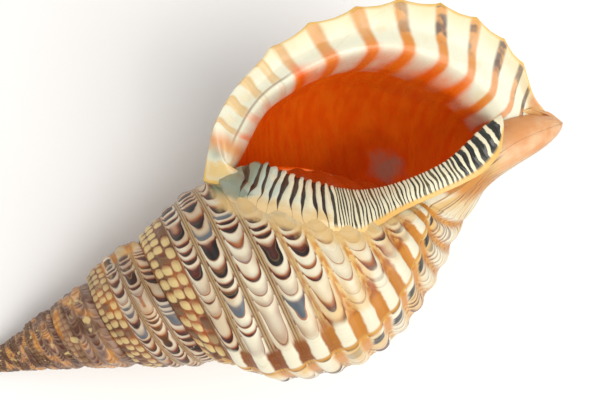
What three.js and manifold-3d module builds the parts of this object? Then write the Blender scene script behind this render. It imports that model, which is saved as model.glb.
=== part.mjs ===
import * as THREE from "three";
import { mergeVertices } from "three/addons/utils/BufferGeometryUtils.js";
import Module from "manifold-3d";

// A triton shell, grown as one piece. Lengths are in mm, angles in degrees. Growth is counted in turns:
// turn 0 is the outer lip and turn -1 is one whorl before it. It is drawn spire up, with y up the axis from
// the apex, x towards the outer lip and z out of the mouth, and laid down at the end.

// Spiral: how many times wider the spire, longer every whorl and wider the last whorl grow in a turn
const spireWidening = 1.46;
const lengthening = 1.4;
const bodyWidening = 1.77;
const spireTurns = 8;

// Outlines of a whorl at the lip's size: place along the outline, distance from the axis, depth below apex
const joinPlace = 0.32;
const spireOutline = through([
  [0, 47, 155], [0.03, 51.8, 158.9], [0.085, 57, 169], [0.15, 61.8, 181], [0.21, 66.4, 193],
  [0.27, 69.5, 206], [0.32, 68.6, 217], [0.39, 74.5, 232], [0.46, 76, 246], [0.54, 74.5, 263],
  [0.65, 65.7, 284], [0.74, 54, 300], [0.83, 39.4, 314], [0.92, 24.8, 328], [1, 19, 336],
]);
const bodyOutline = through([
  [0, 47, 155], [0.08, 60, 167], [0.15, 72, 177], [0.235, 84, 191], [0.3, 89, 205], [0.38, 92, 222],
  [0.46, 92, 240], [0.545, 87.5, 258], [0.64, 76.5, 277], [0.74, 62, 294], [0.85, 43, 310], [0.94, 26, 322],
  [1, 18, 330],
]);
// The turns over which the last whorl's outline takes over from the spire's
const bodyStart = -1;
const bodyFull = -0.6;
// The last whorl's suture stands out a little where the lip leaves it
const sutureStep = { rise: 3, reach: 0.15 };
const sutureZone = [0, 0.12];
const sutureStepZone = [0, 0.3];
// The wall behind the inner lip's teeth is sunk a little
const parietalDent = { depth: 7, reach: 0.16, comesIn: [0.33, 0.48], goesOut: [0.75, 0.95] };
// How far round the axis the growing edge stands at each place along the outline
const lipAngle = through([[0, 18], [0.1, 22], [0.25, 27], [0.5, 27], [0.7, 23], [0.85, 16], [1, 8]]);
const growthLineStart = -1.2;
const growthLineFull = -1;

// Spiral cords, the row of beads and the thick old lips, which follow each other at two thirds of a turn,
// each with the stretch of the outline over which it comes in and goes out
const cordRise = 1.1;
const firstCord = 0.155;
const cordPitch = 0.0765;
const cordZone = { comesIn: [0.09, 0.14], goesOut: [0.94, 1] };
const beadRise = 1.2;
const beadPlace = 0.04;
const beadWidth = 0.02;
const varixSpacing = 2 / 3;
const varixCount = 11;
const varixRise = 4.2;
const varixOldSide = 0.075;
const varixNewSide = 0.03;
const varixZone = { comesIn: [0, 0.08], goesOut: [0.85, 1] };
// How far back along the growth an old lip leans at each place
const varixLag = through([[0, 0.005], [0.25, 0.015], [0.4, 0.027], [0.57, 0.031], [0.73, 0.052], [1, 0.09]]);

// Outer lip: its flared edge, then how early it starts to flare, and its thickness
const lipEdge = through([
  [0, 50, -152, 17], [0.07, 63, -160, 24], [0.14, 74, -168, 30], [0.25, 88, -188, 38], [0.36, 97, -213, 42],
  [0.46, 99, -236, 43], [0.58, 97, -267, 38], [0.69, 88, -292, 31], [0.8, 72, -313, 22], [0.9, 50, -327, 13],
  [0.96, 33, -331, 7], [1, 24, -335, 4],
]);
const flareStart = 0.11;
const flarePower = 2.4;
const scallopDepth = 2.6;
const scallopMiddle = 0.4;
const scallopPlaces = [0.32, 0.41, 0.505, 0.59, 0.68, 0.765, 0.84, 0.9];
const scallopWidth = 0.02;
const scallopZone = { comesIn: [0.2, 0.3], goesOut: [0.93, 1] };
const rimThickness = 2.2;
const rimThins = [0.8, 1.1];
const lipDish = 1.6;
const lipRings = { rim: 0.004, dish: 0.01, throat: 0.018 };

// Canal: depth, middle (x, z) and half widths (x, z) of the neck that carries it, and its tip
const neck = through([
  [60, 0, 0, 3, 3], [150, 0, 1, 8, 8], [235, 1, 3, 12, 12], [255, 1.5, 3, 11.5, 12.5],
  [270, 3, 3, 11.5, 12.5], [281, 6, 3.5, 10.5, 12], [291, 10.5, 4, 10.5, 12], [309, 15.3, 4, 12.8, 12],
  [326, 16, 3, 11.6, 10], [337, 15.3, 2, 8, 6.5], [343.5, 14.5, 1.5, 0.5, 0.5],
]);
const canalTip = new THREE.Vector3(14.5, -343.5, 1.5);
const canalMouth = {
  rim: new THREE.Vector3(26, -330, 7),
  dish: new THREE.Vector3(28, -327, 6),
  throat: new THREE.Vector3(29.5, -322, 3),
};
// How sharply a whorl's lower end settles onto the neck, and the neck onto its tip
const neckSettles = 3;
const tipPulls = 6;
const hollowEndDepth = 317;
const hollowEndGap = 2;

// Hollow: how far back each of its rings lies, and the wall's thickness there
const hollowRings = [
  [0.03, 9.5], [0.07, 9.5], [0.12, 6.5], [0.18, 4.5], [0.26, 4], [0.35, 4], [0.45, 4], [0.56, 4],
  [0.68, 4], [0.8, 4], [0.93, 4], [1.07, 4], [1.22, 4], [1.38, 4],
];
const lipInset = 1.5;
const hollowTop = { place: 0.08, reach: 0.4 };
const wallTopPlace = 0.4;
const wallThins = [0.85, 1.25];

// Inner lip: its outer margin on the shell and its edge in the mouth, from the top notch to the canal
const innerLipMargin = through([
  [0, 44, -158, 23], [0.08, 32.7, -160, 36.5], [0.17, 27.6, -167, 44], [0.26, 22, -176, 49.5],
  [0.35, 13, -188, 53.2], [0.43, 5.6, -199, 53.3], [0.51, -1, -212, 49.8], [0.58, 0.7, -224, 42.6],
  [0.65, 2, -235, 34], [0.72, 2.5, -247, 26.5], [0.79, 3, -262, 23], [0.86, 4, -276, 21.5],
  [0.92, 6, -287, 20.5], [0.96, 12, -298, 19.5], [1, 23, -305, 18],
]);
const innerLipEdge = through([
  [0, 51, -163, 14], [0.08, 48, -180, 25], [0.17, 41, -188, 31], [0.26, 34, -195.5, 35.5],
  [0.35, 28.5, -203, 36.5], [0.43, 24, -209, 36], [0.51, 20, -217.5, 33.5], [0.58, 17.5, -226.5, 30],
  [0.65, 16, -236, 26.5], [0.72, 15.5, -248, 23.5], [0.79, 16, -260, 22], [0.86, 18, -272.5, 21],
  [0.92, 22, -283, 20.5], [0.96, 26.5, -293.5, 19.5], [1, 30, -306, 18],
]);
const innerLipCrown = 2.6;
const innerLipDepth = 9;
const innerLipCover = 1.2;
// Across the inner lip from margin to edge: where its shoulder and crown lie, how far a ridge reaches past
// the edge and where its underside starts and ends, then how much of the crown's height its shoulder has
const innerLipAcross = { shoulder: 0.3, crown: 0.65, ridgeReach: 0.06, underEdge: 0.95, underMargin: 0.1 };
const shoulderShare = 0.8;
const ridgeGroups = [
  { from: 0.03, to: 0.43, count: 9, rise: 1.3 },
  { from: 0.43, to: 0.86, count: 15, rise: 0.7 },
  { from: 0.86, to: 0.99, count: 5, rise: 1.1 },
];

// Mesh steps: rows in a turn, places along the outline down to the next whorl, below it, and down the neck
const rowsPerTurn = 28;
const spirePlaces = [0, 0.03, 0.075, 0.117, 0.155, 0.193, 0.232, 0.27, 0.308];
const basePlaces = [
  0.32, 0.355, 0.398, 0.435, 0.472, 0.508, 0.545, 0.581, 0.617, 0.653, 0.69, 0.728, 0.767, 0.805, 0.843,
  0.881, 0.92, 0.96, 1,
];
const neckPlaces = [0.2, 0.45, 0.7, 0.88];

// Lying on its back with the mouth up: how far it is rolled round its axis, how far the spire hangs down to
// touch, and how deep the flats are that it rests on
const restRoll = 5;
const spireDroop = 22.4;
const restFlat = 0.9;

const shellColour = 0xe4d3b4;
const shellRoughness = 0.35;

// A smooth curve through rows of numbers, the first of each being its place along the curve
function through(knots) {
  const values = knots.map((knot) => knot.slice(1));
  const slopes = knots.map((knot, i) => {
    const before = Math.max(0, i - 1);
    const after = Math.min(knots.length - 1, i + 1);
    const width = knots[after][0] - knots[before][0];
    return values[i].map((_, k) => (values[after][k] - values[before][k]) / width);
  });
  return (place) => {
    const at = THREE.MathUtils.clamp(place, knots[0][0], knots.at(-1)[0]);
    let i = 0;
    while (i < knots.length - 2 && at > knots[i + 1][0]) i += 1;
    const span = knots[i + 1][0] - knots[i][0];
    const u = (at - knots[i][0]) / span;
    const start = 2 * u ** 3 - 3 * u ** 2 + 1;
    const leave = (u ** 3 - 2 * u ** 2 + u) * span;
    const arrive = (u ** 3 - u ** 2) * span;
    return values[i].map((value, k) =>
      start * value + leave * slopes[i][k] + (1 - start) * values[i + 1][k] + arrive * slopes[i + 1][k]);
  };
}

function ease(x, from, to) {
  return THREE.MathUtils.smoothstep(x, from, to);
}

function fade(x, from, to) {
  return 1 - ease(x, from, to);
}

function within(x, { comesIn, goesOut }) {
  return ease(x, ...comesIn) * fade(x, ...goesOut);
}

function bell(x) {
  return Math.exp(-(x ** 2));
}

function vector(numbers) {
  return new THREE.Vector3(...numbers);
}

// The smooth whorl, before cords, old lips and the flare
function whorl(turn, place) {
  const [spireR, spireD] = spireOutline(place);
  const [bodyR, bodyD] = bodyOutline(place);
  const body = ease(turn, bodyStart, bodyFull);
  const nearSuture = fade(place, ...sutureZone);
  const onSuture = bodyR * spireWidening ** turn;
  const onBody = bodyR * bodyWidening ** turn;
  const step = (at) => sutureStep.rise * bell(at / sutureStep.reach);
  const inSpire = spireR * spireWidening ** turn;
  const inBody = THREE.MathUtils.lerp(onBody, onSuture, nearSuture);
  const steps = step(turn) * nearSuture + step(turn + 1) * ease(place, ...sutureStepZone);
  const dent = parietalDent.depth * bell((turn + 1) / parietalDent.reach) * within(place, parietalDent);
  const radius = THREE.MathUtils.lerp(inSpire, inBody, body) + steps - dent;
  const depth = THREE.MathUtils.lerp(spireD, bodyD, body) * lengthening ** turn;
  const lean = (lipAngle(place)[0] - lipAngle(0)[0]) * ease(turn, growthLineStart, growthLineFull);
  const angle = THREE.MathUtils.degToRad(360 * turn + lipAngle(0)[0] + lean);
  return { position: new THREE.Vector3(radius * Math.cos(angle), -depth, radius * Math.sin(angle)), angle };
}

function outward(turn, place) {
  const small = 0.004;
  const along = whorl(turn, place + small).position.sub(whorl(turn, Math.max(0, place - small)).position);
  const round = whorl(turn + small, place).position.sub(whorl(turn - small, place).position);
  return along.cross(round).normalize().negate();
}

function varix(turn) {
  let rise = 0;
  for (let k = 1; k < varixCount; k += 1) {
    const past = turn + k * varixSpacing;
    const reach = past < 0 ? varixOldSide : varixNewSide;
    rise = Math.max(rise, bell(past / reach));
  }
  return rise;
}

function relief(turn, place) {
  const wave = Math.cos((2 * Math.PI * (place - firstCord)) / cordPitch);
  const cords = cordRise * wave * within(place, cordZone);
  const beads = beadRise * bell((place - beadPlace) / beadWidth) * ease(place, 0, beadWidth);
  const oldLip = varixRise * varix(turn + varixLag(place)[0]) * within(place, varixZone);
  return (cords + beads + oldLip) * lengthening ** turn;
}

function scallop(place) {
  const points = scallopPlaces.map((at) => Math.exp(-Math.abs(place - at) / scallopWidth));
  return Math.max(...points);
}

function edgePoint(place) {
  const edge = vector(lipEdge(place));
  const out = edge.clone().sub(whorl(0, place).position).normalize();
  const depth = scallopDepth * (scallop(place) - scallopMiddle) * within(place, scallopZone);
  return edge.addScaledVector(out, depth);
}

// The outside of the shell at a turn and a place along the outline
function skin(turn, place) {
  const { position } = whorl(turn, place);
  const flare = THREE.MathUtils.clamp((turn + flareStart) / flareStart, 0, 1) ** flarePower;
  const lip = edgePoint(place).sub(whorl(0, place).position);
  const raised = relief(turn, place) * (1 - flare);
  return position.addScaledVector(outward(turn, place), raised).addScaledVector(lip, flare);
}

function wallInside(turn, place, thickness) {
  return whorl(turn, place).position.addScaledVector(outward(turn, place), -thickness);
}

function neckSurface(depth, angle) {
  const [x, z, halfX, halfZ] = neck(depth);
  return new THREE.Vector3(x + halfX * Math.cos(angle), -depth, z + halfZ * Math.sin(angle));
}

// From the lower end of a whorl down the neck to a point
function downNeck(start, angle, share, end) {
  const depth = THREE.MathUtils.lerp(-start.y, -end.y, share);
  const off = start.clone().sub(neckSurface(-start.y, angle));
  const onNeck = neckSurface(depth, angle).addScaledVector(off, (1 - share) ** neckSettles);
  return onNeck.lerp(end, share ** tipPulls);
}

// One closed skin: the spire's strip joins the next whorl's suture, and the mouth's rings run from the lip's
// edge and the last whorl's wall back into the hollow
function shellBody() {
  const points = [];
  const faces = [];
  const add = (point) => points.push(point) - 1;
  const whorlPlaces = [...spirePlaces, ...basePlaces];
  const join = spirePlaces.length;
  const last = whorlPlaces.length + neckPlaces.length;
  const rows = rowsPerTurn * spireTurns;
  const firstBodyRow = rows - rowsPerTurn;
  const tip = add(canalTip);
  const ids = [];
  const rowPoint = (turn, j) => {
    if (j < whorlPlaces.length) return skin(turn, whorlPlaces[j]);
    return downNeck(skin(turn, 1), whorl(turn, 1).angle, neckPlaces[j - whorlPlaces.length], canalTip);
  };
  for (let i = 0; i <= rows; i += 1) {
    const turn = i / rowsPerTurn - spireTurns;
    const count = i < firstBodyRow ? join : last;
    const isJoined = (j) => i === firstBodyRow && j === join;
    ids.push(Array.from({ length: count }, (_, j) => (isJoined(j) ? null : add(rowPoint(turn, j)))));
  }
  const id = (i, j) => {
    if (j === last) return tip;
    return j === join && i <= firstBodyRow ? ids[i + rowsPerTurn][0] : ids[i][j];
  };
  const quad = (a, b, c, d) => {
    faces.push([a, b, c]);
    faces.push([a, c, d]);
  };
  for (let i = 0; i < rows; i += 1) {
    const count = i < firstBodyRow ? join : last - 1;
    for (let j = 0; j < count; j += 1) quad(id(i, j), id(i, j + 1), id(i + 1, j + 1), id(i + 1, j));
    if (i >= firstBodyRow) faces.push([id(i, last - 1), tip, id(i + 1, last - 1)]);
  }

  const fan = (centre, edge) => {
    edge.forEach((from, n) => faces.push([centre, from, edge[(n + 1) % edge.length]]));
  };
  const firstTurn = Array.from({ length: rowsPerTurn + 1 }, (_, i) => id(i, 0));
  const firstRow = Array.from({ length: join - 1 }, (_, n) => id(0, join - 1 - n));
  fan(add(new THREE.Vector3(0, 0, 0)), [...firstTurn, ...firstRow]);

  const ringLoop = (outer, inner) => [...outer, ...inner.slice(1, -1).reverse()];
  let loop = ringLoop(
    Array.from({ length: last + 1 }, (_, j) => id(rows, j)),
    Array.from({ length: last + 1 - join }, (_, n) => id(firstBodyRow, join + n)),
  );
  const toWall = (place) => THREE.MathUtils.mapLinear(place, joinPlace, 1, wallTopPlace, 1);
  const innerPlaces = basePlaces.map(toWall);
  const belowTop = (place) => place + hollowTop.place * fade(place, 0, hollowTop.reach);
  const addRing = (back, outerPoint, end) => {
    const innerTurn = -1 - back;
    const innerEnd = whorl(innerTurn, 1);
    const inner = innerPlaces.map((place) => whorl(innerTurn, place).position);
    const outer = whorlPlaces.map((place) => outerPoint(belowTop(place)));
    outer[0].lerp(inner[0], 0.5);
    const outerEnd = outer.at(-1).clone();
    const innerNeck = neckPlaces.map((share) => downNeck(innerEnd.position, innerEnd.angle, share, end));
    const outerNeck = neckPlaces.map((share) => outerEnd.clone().lerp(end, share));
    const outerIds = [...outer, ...outerNeck, end].map(add);
    const innerIds = [...inner.slice(1), ...innerNeck].map(add);
    const next = ringLoop(outerIds, [outerIds[0], ...innerIds, outerIds.at(-1)]);
    next.forEach((_, n) => {
      const m = (n + 1) % next.length;
      quad(loop[n], loop[m], next[m], next[n]);
    });
    loop = next;
  };
  const rim = (place) => {
    const edge = edgePoint(place);
    const inwards = whorl(0, place).position.sub(edge).normalize();
    const thickness = new THREE.Vector3(0, 0, rimThickness * fade(place, ...rimThins));
    return edge.addScaledVector(inwards, rimThickness / 3).add(thickness);
  };
  const throat = (place) => wallInside(0, place, lipInset);
  const dish = (place) => rim(place).lerp(throat(place), 0.5).add(new THREE.Vector3(0, 0, -lipDish));
  addRing(lipRings.rim, rim, canalMouth.rim);
  addRing(lipRings.dish, dish, canalMouth.dish);
  addRing(lipRings.throat, throat, canalMouth.throat);
  for (const [back, thickness] of hollowRings) {
    const scale = lengthening ** -back;
    const wall = (place) => wallInside(-back, place, thickness * scale * fade(place, ...wallThins));
    const endAngle = whorl(-back, 1).angle;
    const onNeck = neckSurface(hollowEndDepth * scale, endAngle);
    const awayFromNeck = new THREE.Vector3(Math.cos(endAngle), 0, Math.sin(endAngle));
    addRing(back, wall, onNeck.addScaledVector(awayFromNeck, hollowEndGap * scale));
  }
  const middle = new THREE.Vector3();
  loop.forEach((n) => middle.addScaledVector(points[n], 1 / loop.length));
  fan(add(middle), loop);
  return { points, faces };
}

// How far the last whorl's front stands from the axis at an angle and a depth
function frontRadius(angle, depth) {
  let from = 0;
  let to = 1;
  let found = whorl(-1, 0).position;
  for (let n = 0; n < 24; n += 1) {
    const place = (from + to) / 2;
    found = whorl((THREE.MathUtils.radToDeg(angle) - lipAngle(place)[0]) / 360 - 1, place).position;
    if (-found.y < depth) from = place;
    else to = place;
  }
  return Math.hypot(found.x, found.z);
}

// Moves a point out from the axis until it clears the last whorl's front
function clearOfFront(point, clearance) {
  const radius = Math.hypot(point.x, point.z);
  const least = frontRadius(Math.atan2(point.z, point.x), -point.y) + clearance;
  const grow = Math.max(1, least / radius);
  return new THREE.Vector3(point.x * grow, point.y, point.z * grow);
}

// The inner lip's shield, with its ridges, from the notch at the top down the columella to the canal
function innerLip() {
  const stations = [];
  for (const { from, to, count, rise } of ridgeGroups) {
    for (let n = 0; n < count; n += 1) {
      stations.push({ at: THREE.MathUtils.lerp(from, to, n / count), rise: 0 });
      stations.push({ at: THREE.MathUtils.lerp(from, to, (n + 0.5) / count), rise });
    }
  }
  stations.push({ at: ridgeGroups.at(-1).to, rise: 0 });
  const sections = stations.map(({ at, rise }) => {
    const margin = vector(innerLipMargin(at));
    const edge = vector(innerLipEdge(at));
    const swell = innerLipCrown * Math.sin(Math.PI * THREE.MathUtils.clamp(at, 0.1, 0.9));
    const across = (share, lift) => margin.clone().lerp(edge, share).add(new THREE.Vector3(0, 0, lift));
    const cover = innerLipCover + rise;
    const { shoulder, crown, ridgeReach, underEdge, underMargin } = innerLipAcross;
    return [
      clearOfFront(across(0, 0), 0),
      clearOfFront(across(shoulder, swell * shoulderShare + rise), cover),
      clearOfFront(across(crown, swell + rise), cover),
      clearOfFront(across(1 + rise * ridgeReach, 0), cover),
      across(underEdge, -innerLipDepth),
      across(underMargin, -innerLipDepth),
    ];
  });
  const points = sections.flat();
  const count = sections[0].length;
  const faces = [];
  for (let i = 0; i < sections.length - 1; i += 1) {
    for (let j = 0; j < count; j += 1) {
      const a = i * count + j;
      const b = i * count + ((j + 1) % count);
      faces.push([a, b, b + count]);
      faces.push([a, b + count, a + count]);
    }
  }
  const lastRow = (sections.length - 1) * count;
  for (let j = 1; j < count - 1; j += 1) {
    faces.push([0, j + 1, j]);
    faces.push([lastRow, lastRow + j, lastRow + j + 1]);
  }
  return { points, faces };
}

function closedGeometry({ points, faces }) {
  const geometry = new THREE.BufferGeometry();
  geometry.setAttribute("position", new THREE.Float32BufferAttribute(points.flatMap((p) => p.toArray()), 3));
  const signed = ([a, b, c]) => points[a].dot(points[b].clone().cross(points[c]));
  const volume = faces.reduce((sum, face) => sum + signed(face), 0);
  geometry.setIndex(faces.flatMap(([a, b, c]) => (volume > 0 ? [a, b, c] : [a, c, b])));
  return mergeVertices(geometry, 1e-4);
}

const wasm = await Module();
wasm.setup();

function solid(geometry) {
  return new wasm.Manifold(new wasm.Mesh({
    numProp: 3,
    vertProperties: new Float32Array(geometry.attributes.position.array),
    triVerts: new Uint32Array(geometry.index.array),
  }));
}

function geometryOf(manifold) {
  const mesh = manifold.getMesh();
  const geometry = new THREE.BufferGeometry();
  geometry.setAttribute("position", new THREE.BufferAttribute(mesh.vertProperties, 3));
  geometry.setIndex(new THREE.BufferAttribute(mesh.triVerts, 1));
  return geometry;
}

function laidDown(geometry) {
  geometry.rotateY(THREE.MathUtils.degToRad(restRoll));
  geometry.rotateZ(Math.PI / 2);
  return geometry.rotateY(THREE.MathUtils.degToRad(-spireDroop));
}

// The floor's own block, whose top takes off the flats that the shell rests on
function floorUnder(box) {
  const size = box.getSize(new THREE.Vector3()).length();
  const block = new THREE.BoxGeometry(size, size, size);
  block.translate(0, 0, box.min.z + restFlat - size / 2).deleteAttribute("normal").deleteAttribute("uv");
  return mergeVertices(block);
}

const joined = solid(closedGeometry(shellBody())).add(solid(closedGeometry(innerLip())));
const lying = laidDown(geometryOf(joined));
lying.computeBoundingBox();
const rested = geometryOf(solid(lying).subtract(solid(floorUnder(lying.boundingBox))));
rested.computeBoundingBox();
const middle = rested.boundingBox.getCenter(new THREE.Vector3());
const shell = new THREE.Mesh(
  rested,
  new THREE.MeshStandardMaterial({ color: shellColour, roughness: shellRoughness, metalness: 0 }),
);
shell.name = "triton_shell";
shell.position.set(-middle.x, -middle.y, -rested.boundingBox.min.z);

const part = new THREE.Group();
part.add(shell);
export default part;
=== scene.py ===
import math
import bpy
import numpy as np
from mathutils import Matrix, Vector


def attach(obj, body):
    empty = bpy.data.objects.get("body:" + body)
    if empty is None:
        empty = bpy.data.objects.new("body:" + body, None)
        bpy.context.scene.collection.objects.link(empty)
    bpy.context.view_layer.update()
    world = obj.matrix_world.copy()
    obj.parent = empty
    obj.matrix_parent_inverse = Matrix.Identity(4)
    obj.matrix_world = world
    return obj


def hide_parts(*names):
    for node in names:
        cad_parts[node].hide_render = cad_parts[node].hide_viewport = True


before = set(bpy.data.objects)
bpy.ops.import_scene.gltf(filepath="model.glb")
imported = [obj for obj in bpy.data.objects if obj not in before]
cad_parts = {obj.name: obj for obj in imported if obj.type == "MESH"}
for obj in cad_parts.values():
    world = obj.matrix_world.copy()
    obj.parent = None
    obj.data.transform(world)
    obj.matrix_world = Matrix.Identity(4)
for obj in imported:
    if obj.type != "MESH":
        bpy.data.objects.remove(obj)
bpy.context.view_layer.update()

# how the shell grows: the outlines are place, distance from the axis, depth below the spire's tip
growth = {
    "spireOutline": [
        (0, 47, 155), (0.03, 51.8, 158.9), (0.085, 57, 169), (0.15, 61.8, 181), (0.21, 66.4, 193),
        (0.27, 69.5, 206), (0.32, 68.6, 217), (0.39, 74.5, 232), (0.46, 76, 246), (0.54, 74.5, 263),
        (0.65, 65.7, 284), (0.74, 54, 300), (0.83, 39.4, 314), (0.92, 24.8, 328), (1, 19, 336),
    ],
    "bodyOutline": [
        (0, 47, 155), (0.08, 60, 167), (0.15, 72, 177), (0.235, 84, 191), (0.3, 89, 205), (0.38, 92, 222),
        (0.46, 92, 240), (0.545, 87.5, 258), (0.64, 76.5, 277), (0.74, 62, 294), (0.85, 43, 310),
        (0.94, 26, 322), (1, 18, 330),
    ],
    "lipAngle": [(0, 18), (0.1, 22), (0.25, 27), (0.5, 27), (0.7, 23), (0.85, 16), (1, 8)],
    "spireWidening": 1.46,
    "lengthening": 1.4,
    "bodyWidening": 1.77,
    "bodyTakesOver": (-1, -0.6),
    "lipLeans": (-1.2, -1),
    "joinPlace": 0.32,
    "sutureEnd": 0.12,
    "sutureRise": 3,
    "sutureReach": 0.15,
    "nextWhorlRises": 0.3,
    "parietalDent": 7,
    "parietalReach": 0.16,
    "parietalPlaces": (0.33, 0.48, 0.75, 0.95),
}

# the outer lip's edge: place, then x, y, z with the spire up and the mouth towards the viewer
lip = {
    "edge": [
        (0, 50, -152, 17), (0.07, 63, -160, 24), (0.14, 74, -168, 30), (0.25, 88, -188, 38),
        (0.36, 97, -213, 42), (0.46, 99, -236, 43), (0.58, 97, -267, 38), (0.69, 88, -292, 31),
        (0.8, 72, -313, 22), (0.9, 50, -327, 13), (0.96, 33, -331, 7), (1, 24, -335, 4),
    ],
    "flareStart": 0.11,
    "flarePower": 2.4,
    "scallops": (0.32, 0.41, 0.505, 0.59, 0.68, 0.765, 0.84, 0.9),
    "scallopDepth": 2.6,
    "scallopWidth": 0.02,
    "scallopPlaces": (0.2, 0.3, 0.93, 1),
}

# how the shell lies on the floor, and where the spire's tip comes in the frame, in mm
resting = {"roll": 5, "spireDroop": 22.4, "spireTip": (-159.354, -17.945, -0.842)}


# a smooth curve through knots, each a position along it and then its values there
def through(knots):
    table = np.array(knots, float)
    at, values = table[:, 0], table[:, 1:]
    before = np.maximum(np.arange(len(at)) - 1, 0)
    after = np.minimum(np.arange(len(at)) + 1, len(at) - 1)
    slopes = (values[after] - values[before]) / (at[after] - at[before])[:, None]

    def curve(place):
        place = np.clip(np.asarray(place, float), at[0], at[-1])
        i = np.clip(np.searchsorted(at, place, side="right") - 1, 0, len(at) - 2)
        span = at[i + 1] - at[i]
        u = ((place - at[i]) / span)[..., None]
        span = span[..., None]
        start = 2 * u**3 - 3 * u**2 + 1
        leave = (u**3 - 2 * u**2 + u) * span
        arrive = (u**3 - u**2) * span
        bend = start * values[i] + leave * slopes[i]
        return bend + (1 - start) * values[i + 1] + arrive * slopes[i + 1]

    return curve


# 0 below low, 1 above high, and smooth between
def ease(x, low, high):
    x = np.clip((np.asarray(x, float) - low) / (high - low), 0, 1)
    return x * x * (3 - 2 * x)


# 1 from lowEnd to high, and 0 outside low and highEnd
def between(x, low, lowEnd, high, highEnd):
    return ease(x, low, lowEnd) * (1 - ease(x, high, highEnd))


def bell(x, width):
    return np.exp(-((x / width) ** 2))


spireAt = through(growth["spireOutline"])
bodyAt = through(growth["bodyOutline"])
lipAngleAt = through(growth["lipAngle"])
lipEdgeAt = through(lip["edge"])


def whorlAngle(turn, place):
    lean = ease(turn, *growth["lipLeans"])
    first = growth["lipAngle"][0][1]
    return np.radians(360 * turn + first + (lipAngleAt(place)[..., 0] - first) * lean)


# the smooth whorl, before cords, old lips and the flare
def whorl(turn, place):
    turn, place = np.broadcast_arrays(np.asarray(turn, float), np.asarray(place, float))
    spire, body = spireAt(place), bodyAt(place)
    takeOver = ease(turn, *growth["bodyTakesOver"])
    nearSuture = 1 - ease(place, 0, growth["sutureEnd"])
    narrow = growth["spireWidening"] ** turn
    wide = growth["bodyWidening"] ** turn
    inBody = body[..., 0] * (nearSuture * narrow + (1 - nearSuture) * wide)
    stepHere = growth["sutureRise"] * bell(turn, growth["sutureReach"]) * nearSuture
    stepNext = growth["sutureRise"] * bell(turn + 1, growth["sutureReach"])
    stepNext = stepNext * ease(place, 0, growth["nextWhorlRises"])
    dent = growth["parietalDent"] * bell(turn + 1, growth["parietalReach"])
    dent = dent * between(place, *growth["parietalPlaces"])
    radius = (1 - takeOver) * spire[..., 0] * narrow + takeOver * inBody + stepHere + stepNext - dent
    depth = ((1 - takeOver) * spire[..., 1] + takeOver * body[..., 1]) * growth["lengthening"] ** turn
    angle = whorlAngle(turn, place)
    return np.stack([radius * np.cos(angle), -depth, radius * np.sin(angle)], -1)


def unit(vectors):
    return vectors / np.maximum(np.linalg.norm(vectors, axis=-1, keepdims=True), 1e-9)


# the way that the smooth whorl faces, from two short steps along it
def outward(turn, place):
    small = 0.004
    down = whorl(turn, place + small) - whorl(turn, np.maximum(place - small, 0))
    along = whorl(turn + small, place) - whorl(turn - small, place)
    return -unit(np.cross(down, along))


# a wave that repeats nowhere soon, for what a living thing does unevenly
def wander(x, y, seed):
    return (
        np.sin(x * 1.7 + seed * 2.1 + 1.3 * np.sin(y * 0.9 + seed))
        + np.sin(x * 3.1 - y * 1.3 + seed * 4.7)
        + np.sin(y * 2.3 + x * 0.7 + seed * 0.6)
    ) / 3


# cords, beads, threads and old lips standing out from the smooth whorl; a row of beads is its place, its
# width, how many beads are in a turn, and how high they are
relief = {
    "firstCord": 0.155,
    "cordPitch": 0.0765,
    "cordRise": 1.1,
    "cordPlaces": (0.09, 0.14, 0.94, 1),
    "cordRoundness": 0.8,
    "threadRise": 0.16,
    "threads": 10,
    "beadRows": [(0.028, 0.014, 40, 1.5), (0.064, 0.013, 42, 1.3), (0.102, 0.012, 36, 0.9)],
    "beadWander": 0.35,
    "growthRise": 0.16,
    "growthLines": (260, 18),
    "lumpRise": 0.35,
    "lumps": (11, 14),
    "varixSpacing": 2 / 3,
    "varixRise": 4.2,
    "varixOldSide": 0.075,
    "varixNewSide": 0.03,
    "varixLag": [(0, 0.005), (0.25, 0.015), (0.4, 0.027), (0.57, 0.031), (0.73, 0.052), (1, 0.09)],
}
varixLagAt = through(relief["varixLag"])


# how far in turns a point is past the nearest old lip
def pastVarix(turn, place):
    leaning = turn + varixLagAt(place)[..., 0]
    number = np.minimum(np.round(leaning / relief["varixSpacing"]), -1)
    return leaning - number * relief["varixSpacing"]


def varixAmount(turn, place):
    past = pastVarix(turn, place)
    return bell(past, np.where(past < 0, relief["varixOldSide"], relief["varixNewSide"]))


# where along each row of beads a point is, counted in beads
def beadCounts(turn, place):
    counts = []
    for at, _, inTurn, _ in relief["beadRows"]:
        counts.append(turn * inTurn + wander(turn * 9, place * 3, at * 50) * relief["beadWander"])
    return counts


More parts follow.
